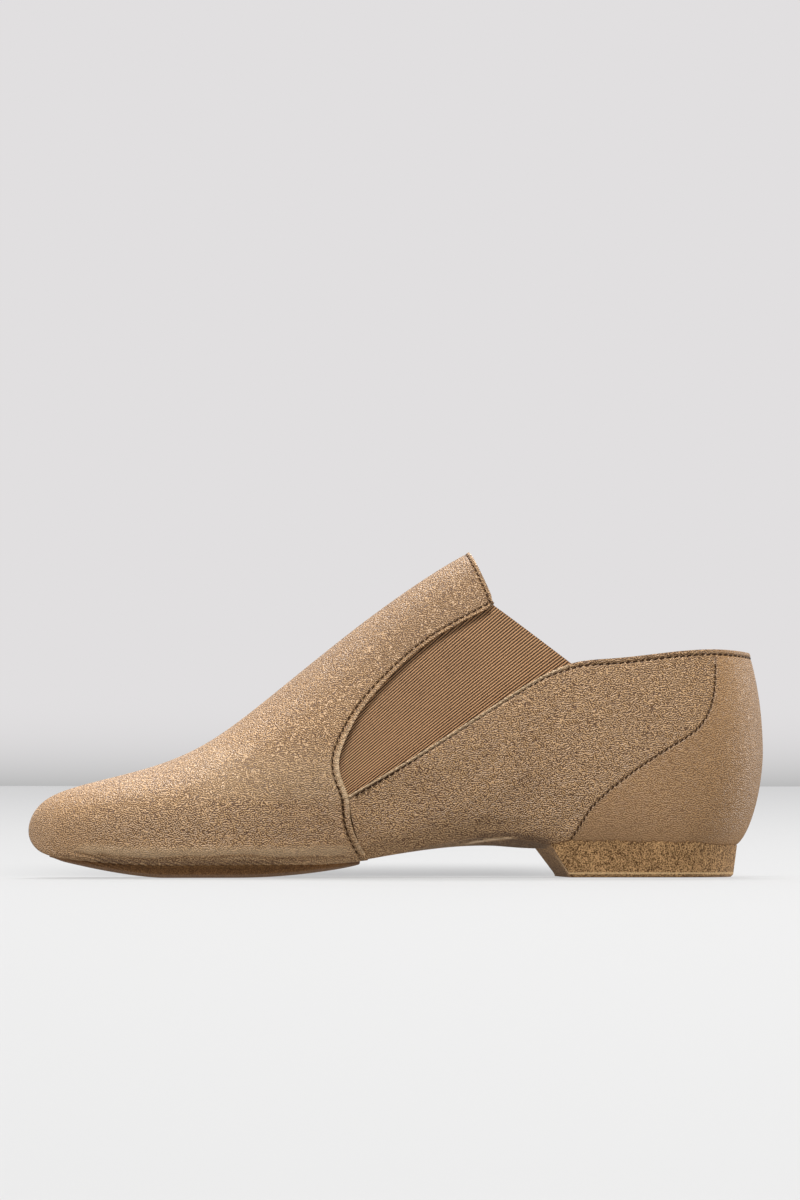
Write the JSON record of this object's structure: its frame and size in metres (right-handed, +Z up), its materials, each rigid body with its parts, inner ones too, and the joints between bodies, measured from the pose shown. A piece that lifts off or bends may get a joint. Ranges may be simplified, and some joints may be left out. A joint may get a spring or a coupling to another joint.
{
  "type": "jazz boot",
  "caption": "Slip-on jazz boot for the right foot, with a soft leather upper, a tongue, elastic side gores, a split sole and a low suede heel.",
  "frame": {"origin": "on the floor, under the middle of the shoe's length and width", "axes": "+X from toe to heel, +Y towards the outer side of the foot, +Z up"},
  "size_m": [0.248, 0.0826, 0.1095],
  "materials": {
    "upper_leather": "satin tan leather with a fine pebble grain",
    "gore_elastic": "ribbed brown elastic",
    "insole_lining": "matt tan lining",
    "sole_leather": "matt dark brown leather",
    "heel_suede": "rough brown suede"
  },
  "bodies": {
    "root": {"upper": "upper_leather", "gore_medial": "gore_elastic", "gore_lateral": "gore_elastic", "insole": "insole_lining", "forefoot_sole": "sole_leather", "heel": "heel_suede"}
  },
  "joints": []
}
